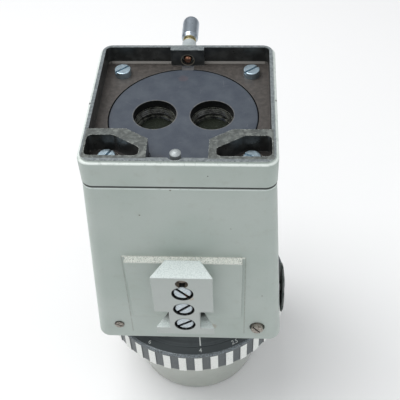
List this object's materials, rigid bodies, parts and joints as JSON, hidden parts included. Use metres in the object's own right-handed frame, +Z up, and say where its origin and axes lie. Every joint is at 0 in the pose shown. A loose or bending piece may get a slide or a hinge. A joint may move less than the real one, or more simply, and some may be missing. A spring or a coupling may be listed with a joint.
{
  "type": "stereo microscope zoom body",
  "caption": "Box-shaped stereo zoom body: open seat for a viewing tube on top, dovetail on the front, clamp screw at the back, zoom ring and lens barrel below.",
  "frame": {"origin": "centre of the round tube seat, on its top face", "axes": "+Z up along the optical axis, away from the lens barrel; -Y out of the dovetail side; +Y out of the clamp screw side; +X towards the side knob"},
  "size_m": [0.0996, 0.1198, 0.1891],
  "materials": {
    "grey_paint": "satin light grey enamel, worn to bare metal along some edges",
    "seat_coating": "satin blue-grey coating",
    "zinc_steel": "turned, zinc plated",
    "ground_steel": "ground and polished",
    "brass": "turned brass",
    "bright_metal": "bright plated",
    "machined_aluminium": "milled",
    "black_anodised": "dark anodised, turned",
    "optical_glass": "coated optical glass",
    "ring_coating": "dark grey coating with white grip lines",
    "barrel_paint": "glossy grey enamel",
    "knob_plastic": "moulded, dark green-black"
  },
  "bodies": {
    "housing": {"main_housing": "grey_paint", "tray_frame": "grey_paint", "seat_plate": "seat_coating", "seat_plate_screws": "zinc_steel", "tray_screws": "zinc_steel", "locating_pin": "ground_steel", "clamp_bush": "grey_paint", "dovetail_block": "grey_paint", "dovetail_screws": "zinc_steel", "stop_pin": "ground_steel", "chassis_screws": "zinc_steel", "port_cell_left": "black_anodised", "port_cell_right": "black_anodised", "relay_lens_left": "optical_glass", "relay_lens_right": "optical_glass", "port_retaining_rings": "black_anodised", "rod_bracket": "machined_aluminium", "bracket_screws": "zinc_steel", "guide_rods": "ground_steel", "base_plate": "machined_aluminium", "base_plate_screws": "zinc_steel", "index_collar": "black_anodised", "collar_screws": "zinc_steel", "ring_retainer": "black_anodised", "retainer_screws": "zinc_steel", "objective_barrel": "barrel_paint", "objective_rear_lens": "optical_glass", "rear_lens_ring": "black_anodised", "objective_front_lens": "optical_glass", "front_lens_ring": "black_anodised", "stop_slide_rails": "machined_aluminium", "knob_bracket": "machined_aluminium", "bracket_foot_screw": "zinc_steel", "knob_bush": "brass"},
    "zoom_ring": {"zoom_ring": "ring_coating", "ring_gear": "ring_coating"},
    "zoom_pinion": {"pinion_shaft": "ground_steel", "transfer_gear": "brass", "zoom_pinion": "brass"},
    "cam": {"cam_drum": "machined_aluminium", "cam_gear": "brass"},
    "upper_lens_group": {"upper_carriage": "machined_aluminium", "upper_zoom_lenses": "optical_glass", "upper_lens_rings": "black_anodised", "upper_follower_pin": "ground_steel"},
    "lower_lens_group": {"lower_carriage": "machined_aluminium", "lower_zoom_lenses": "optical_glass", "lower_lens_rings": "black_anodised", "lower_follower_pin": "ground_steel"},
    "stop_knob": {"stop_knob": "knob_plastic", "knob_shaft": "ground_steel", "knob_pinion": "brass"},
    "stop_slide": {"stop_slide": "machined_aluminium"},
    "clamp_plunger": {"plunger_tip": "brass"},
    "clamp_screw": {"clamp_spindle": "ground_steel", "clamp_neck_ring": "brass", "clamp_knob": "bright_metal"}
  },
  "joints": [
    {"name": "zoom_turn", "type": "hinge", "parent": "housing", "child": "zoom_ring", "pos_m": [0, 0.0008, -0.122], "axis": [0, 0, 1], "range_deg": [-60, 60]},
    {"name": "zoom_pinion_turn", "type": "hinge", "parent": "housing", "child": "zoom_pinion", "pos_m": [0, 0.0358, -0.108], "axis": [0, 0, 1], "range_deg": [-361, 361]},
    {"name": "cam_turn", "type": "hinge", "parent": "housing", "child": "cam", "pos_m": [0, 0.0241, -0.062], "axis": [0, 0, 1], "range_deg": [-226, 226]},
    {"name": "upper_group_slide", "type": "slide", "parent": "housing", "child": "upper_lens_group", "axis": [0, 0, 1], "range_m": [-0.0101, 0.0101]},
    {"name": "lower_group_slide", "type": "slide", "parent": "housing", "child": "lower_lens_group", "axis": [0, 0, 1], "range_m": [-0.0101, 0.0101]},
    {"name": "stop_knob_turn", "type": "hinge", "parent": "housing", "child": "stop_knob", "pos_m": [0.042, -0.024, -0.0904], "axis": [1, 0, 0], "range_deg": [-137.5, 0]},
    {"name": "stop_slide_travel", "type": "slide", "parent": "housing", "child": "stop_slide", "axis": [0, 1, 0], "range_m": [-0.01148, 0]},
    {"name": "clamp_turn", "type": "hinge", "parent": "clamp_plunger", "child": "clamp_screw", "pos_m": [0, 0.05, 0.003], "axis": [0, 1, 0], "range_deg": [-181, 1081]},
    {"name": "clamp_advance", "type": "slide", "parent": "housing", "child": "clamp_plunger", "axis": [0, 1, 0], "range_m": [-0.00035, 0.0021]}
  ],
  "couplings": [
    {"joint": "zoom_pinion_turn", "follows": "zoom_turn", "ratio": 6},
    {"joint": "cam_turn", "follows": "zoom_turn", "ratio": -3.75},
    {"joint": "upper_group_slide", "follows": "zoom_turn", "m_per_rad": 0.0095493},
    {"joint": "lower_group_slide", "follows": "zoom_turn", "m_per_rad": -0.0095493},
    {"joint": "stop_knob_turn", "follows": "stop_slide_travel", "rad_per_m": 208.33},
    {"joint": "clamp_turn", "follows": "clamp_advance", "rad_per_m": 8976}
  ]
}
